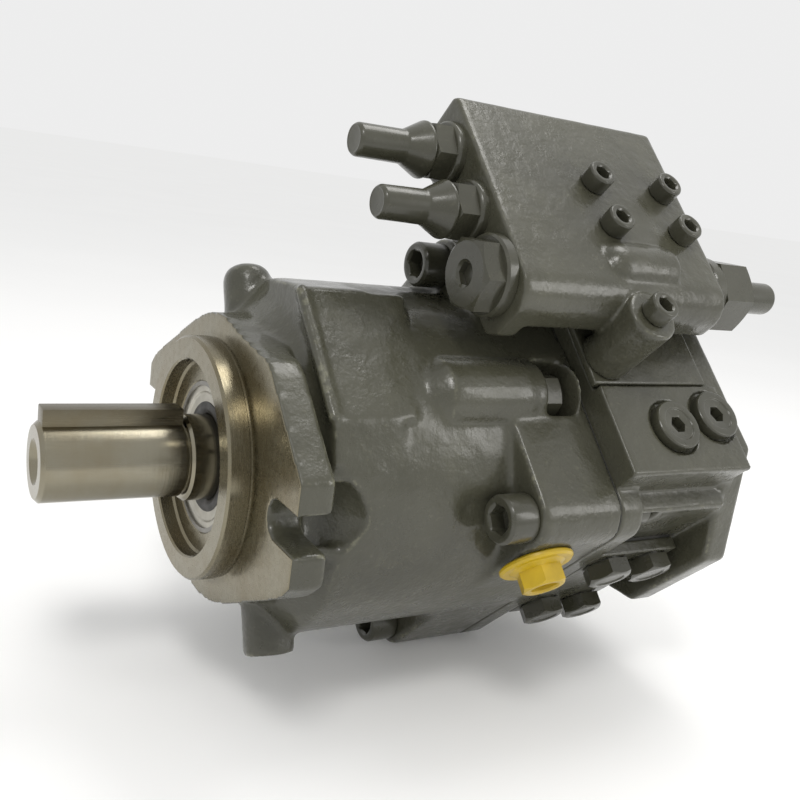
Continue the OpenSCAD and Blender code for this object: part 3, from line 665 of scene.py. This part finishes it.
def power_plug():
    place, _, length = solids("power_plug", DRIVE)[0]
    head_h, collar_h, across = 11.4 * MM, 7 * MM, 34 * MM
    shank, collar = 13.95 * MM, 21 * MM
    seat = -head_h - collar_h
    socket = hexagon(11 * MM)
    body = [(shank, -length), (shank, seat), (collar - 0.6 * MM, seat), (collar, seat + 0.8 * MM),
            (collar, -head_h - 1.2 * MM), (collar - 1.2 * MM, -head_h)]
    rings = (turn_rings(body) + [ring(hexagon(across), -head_h)] + crowned(across, 0)
             + turn_rings([(7.2 * MM, 0), (6.4 * MM, -0.8 * MM)])
             + [ring(socket, -1.2 * MM), ring(socket, -4.6 * MM), ring(1 * MM, -5 * MM)])
    piece("power_plug_hexagon", "power_plug", HARDWARE, [(rings, place, False)], sharp=30)


def power_adjuster():
    place, _, length = solids("power_adjuster_nut", REAR)[0]
    across, bore, chamfer = 38 * MM, 8.1 * MM, 1.2 * MM
    flange, flange_top = 20.8 * MM, 8 * MM - length
    body = [(bore, -length), (flange - 0.8 * MM, -length), (flange, 0.8 * MM - length),
            (flange, flange_top - 1 * MM), (flange - 0.6 * MM, flange_top)]
    rings = (turn_rings(body) + [ring(hexagon(across), flange_top)] + crowned(across, 0)
             + turn_rings([(bore + chamfer, 0), (bore, -chamfer)]))
    piece("power_adjuster_hexagon", "power_adjuster_nut", HARDWARE, [(rings, place, True)], sharp=30)
    place, radius, length = solids("power_adjuster", REAR)[0]
    stem = 8 * MM
    profile = rounded_turn([(stem, -length), (stem, -36 * MM), (radius - 0.6 * MM, -35.6 * MM),
                            (radius, -34.8 * MM), (radius, -4 * MM), (6 * MM, 0),
                            (0.4 * MM, -0.4 * MM)], 1.0 * MM)
    piece("power_adjuster_stem", "power_adjuster", HARDWARE, [(turn_rings(profile), place, False)],
          sharp=30)


def flat_plug(radius, length, flange_h, across):
    """Rings of a screw plug with a thin flange and a hexagon socket."""
    key = hexagon(across)
    step = 0.7 * MM
    body = rounded_turn([(radius * 0.9, -length), (radius * 0.9, -flange_h), (radius, -flange_h),
                         (radius, -step), (radius - 0.8 * MM, 0), (radius * 0.68, 0),
                         (radius * 0.64, -step), (across * 0.74, -step)], 0.3 * MM, 2)
    return turn_rings(body) + [ring(key, -1.2 * MM), ring(key, -7 * MM), ring(0.5 * MM, -8 * MM)]


def port_plugs():
    flange_h, across = 6.3 * MM, 9 * MM
    skins = [(flat_plug(radius, length, flange_h, across), place, False)
             for place, radius, length in solids("port_plugs", UP)]
    piece("port_screw_plugs", "port_plugs", HARDWARE, skins, sharp=30)


def small_plug(name, node, axis, across, flange_h):
    place, radius, length = solids(node, axis)[0]
    rings = flat_plug(radius, length, flange_h, across)
    piece(name, node, HARDWARE, [(rings, place, False)], sharp=30)


def stroking_cap():
    place, _, length = solids("stroking_cap", REAR)[0]
    across, cone, shank = 24 * MM, 3 * MM, 13.9 * MM
    seat = -cone - 14 * MM
    rings = (turn_rings([(shank, -length), (shank, seat)]) + [ring(hexagon(across), seat)]
             + crowned(across, -cone)
             + turn_rings([(10.5 * MM, -cone), (8 * MM, -0.5 * MM), (7.4 * MM, 0), (0.5 * MM, 0)]))
    piece("stroking_cap_hexagon", "stroking_cap", HARDWARE, [(rings, place, False)], sharp=30)


def closing_cap():
    place, radius, length = solids("closing_cap", -SIDE)[0]
    seat, disc_top = -15 * MM, -11.5 * MM
    neck, across, shank, edge = 12 * MM, 22 * MM, 5.9 * MM, 1.2 * MM
    disc = [(shank, -length), (shank, seat), (radius - edge, seat), (radius, seat + 1.0 * MM),
            (radius, disc_top - edge), (radius - edge, disc_top), (neck + 3 * MM, disc_top),
            (neck + 1 * MM, disc_top + edge)]
    hollow = [(8.2 * MM, 0), (7.4 * MM, -1.0 * MM), (6.8 * MM, -5.5 * MM), (0.5 * MM, -6 * MM)]
    rings = (turn_rings(disc) + [ring(hexagon(across), disc_top + 2 * MM)] + crowned(across, 0)
             + turn_rings(hollow))
    piece("closing_cap_moulded", "closing_cap", PLASTIC, [(rings, place, False)], sharp=30)


DRAIN_ANGLE = -24                                # of the drain plug, from straight down
DRAIN_AXIS = -(Matrix.Rotation(math.radians(DRAIN_ANGLE), 3, "X") @ Vector((0, 0, 1)))

pilot_ring()
shaft()
shaft_key()
seal()
through_bolts()
cover_bolts()
lock_nuts()
lock_washers()
adjuster_cap("pressure_cap_turned", "pressure_cap")
adjuster_cap("flow_cap_turned", "flow_cap")
power_plug()
power_adjuster()
port_plugs()
stroking_cap()
closing_cap()
small_plug("drain_screw_plug", "drain_plug", DRAIN_AXIS, 8 * MM, 3 * MM)
small_plug("gallery_screw_plug", "gallery_plug", SIDE, 5 * MM, 3 * MM)
socket_screws("control_block_screws", "control_screws", UP, 1.25, 1.0, 0.62)
socket_screws("rear_cover_socket_screws", "rear_cover_screws", REAR, 1.0, 1.0, 0.62)


# ---------- springs ----------

WIRE_SIDES = 12
STEPS_A_TURN = 24
SPRINGS = {                                      # wire radius and number of turns
    "block_spring": (2.4 * MM, 7),
    "bias_spring": (1.2 * MM, 12),
    "pressure_spring": (1.0 * MM, 7),
    "flow_spring": (1.0 * MM, 7),
    "power_spring": (1.6 * MM, 5),
}
PRESSED_BY = {                                   # the slide that presses a spring
    "pressure_spring": "pressure_spool_slide",
    "flow_spring": "flow_spool_slide",
    "power_spring": "power_piston_slide",
}


def coil_rings(radius, wire, length, turns):
    """Rings of a closed coil spring from z = -length to 0: its end turns lie wire on wire."""
    closed = 2.1 * wire                          # pitch of an end turn
    open_pitch = (length - 2 * wire - 2 * closed) / (turns - 2)
    rings = []
    for i in range(turns * STEPS_A_TURN + 1):
        turn = i / STEPS_A_TURN
        z = (wire - length + closed * (min(turn, 1) + max(turn - turns + 1, 0))
             + open_pitch * max(min(turn, turns - 1) - 1, 0))
        out = Vector((math.cos(2 * math.pi * turn), math.sin(2 * math.pi * turn), 0))
        rings.append([out * (radius + wire * math.cos(b)) + Vector((0, 0, z + wire * math.sin(b)))
                      for b in (2 * math.pi * j / WIRE_SIDES for j in range(WIRE_SIDES))])
    return rings


def spring(node):
    """A coil spring; one that a slide presses gets a mesh of its own."""
    wire, turns = SPRINGS[node]
    place, outer, length = solids(node, REAR)[0]
    rings = coil_rings(outer - wire, wire, length, turns)
    obj = piece(node + "_coil", node, SPRING, [(rings, place, False)], sharp=60)
    if node in PRESSED_BY:
        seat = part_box(node)[0].x
        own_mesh(obj)


for node in SPRINGS:
    spring(node)


# ---------- materials of the pieces that stay as they are ----------

KEEP = {
    BEARING: ["front_bearing_cup", "front_bearing_rollers", "front_bearing_cone",
              "rear_bearing_cup", "rear_bearing_rollers", "rear_bearing_cone"],
    SPRING: ["seal_snap_ring"],
    BRONZE: ["rocker_shells", "slippers", "valve_plate"],
    IRON: ["swashplate", "cylinder_block"],
    GASKET: ["joint_gasket", "pressure_gasket", "control_gasket"],
    STEEL: ["slipper_retainer", "retainer_ball", "pistons", "stroking_sleeve", "stroking_piston",
            "bias_guide", "bias_piston", "pressure_spool", "flow_spool", "power_piston",
            "adjusting_screws"],
}
for material, nodes in KEEP.items():
    for node in nodes:
        obj = frame["nodes"][node]
        obj.data.materials.clear()
        obj.data.materials.append(material)


# ---------- floor, light and camera ----------

FLOOR_REACH = 60                                 # metres to each side
FLOOR_GAP = 2 * MM


def floor():
    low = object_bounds()[0].z - FLOOR_GAP
    bm = bmesh.new()
    bmesh.ops.create_grid(bm, x_segments=2, y_segments=2, size=FLOOR_REACH)
    bmesh.ops.translate(bm, verts=bm.verts, vec=(0, 0, low))
    mesh = bpy.data.meshes.new("floor")
    bm.to_mesh(mesh)
    bm.free()
    obj = bpy.data.objects.new("floor", mesh)
    bpy.context.scene.collection.objects.link(obj)
    s = Shader("floor_paper", 0.0, 0.85, Specular_IOR_Level=0.0)
    s.colour(s.mix(s.noise(3, 3), (0.95, 0.95, 0.945), (0.985, 0.985, 0.98)))
    s.rough(s.span(s.noise(5, 2), 0.3, 0.7, 0.8, 0.9))
    mesh.materials.append(s.mat)
    obj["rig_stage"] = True


def area_light(name, place, target, size, power, tint=(1, 0.985, 0.96)):
    data = bpy.data.lights.new(name, "AREA")
    data.shape = "RECTANGLE"
    data.size, data.size_y = size
    data.energy = power
    data.color = tint
    obj = bpy.data.objects.new(name, data)
    bpy.context.scene.collection.objects.link(obj)
    obj.location = place
    obj.rotation_euler = (Vector(target) - Vector(place)).to_track_quat("-Z", "Y").to_euler()


def world():
    w = bpy.data.worlds.new("studio")
    bpy.context.scene.world = w
    w.use_nodes = True
    background = w.node_tree.nodes["Background"]
    background.inputs["Color"].default_value = (1, 1, 1, 1)
    background.inputs["Strength"].default_value = 0.85


def camera():
    data = bpy.data.cameras.new("camera")
    data.lens, data.sensor_width = 42.18, 36
    data.clip_start, data.clip_end = 0.01, 50
    obj = bpy.data.objects.new("camera", data)
    bpy.context.scene.collection.objects.link(obj)
    right = Vector((0.85408, -0.50128, 0.13882))
    back = Vector((-0.52014, -0.82324, 0.22744))
    turn = Matrix((right, back.cross(right), back)).transposed().to_4x4()
    obj.matrix_world = Matrix.Translation((-0.17033, -0.44916, 0.15485)) @ turn
    bpy.context.scene.camera = obj


CENTRE = (CAD_BOX[0] + CAD_BOX[1]) / 2
floor()
world()
area_light("key", (-0.45, -0.75, 1.25), CENTRE, (0.35, 0.35), 6)
area_light("top", (0.5, 0.1, 1.2), CENTRE, (0.6, 0.4), 4)
area_light("side", (0.9, -0.9, 0.5), CENTRE, (0.3, 0.5), 2.5)
camera()
bpy.context.scene.view_settings.view_transform = "Standard"
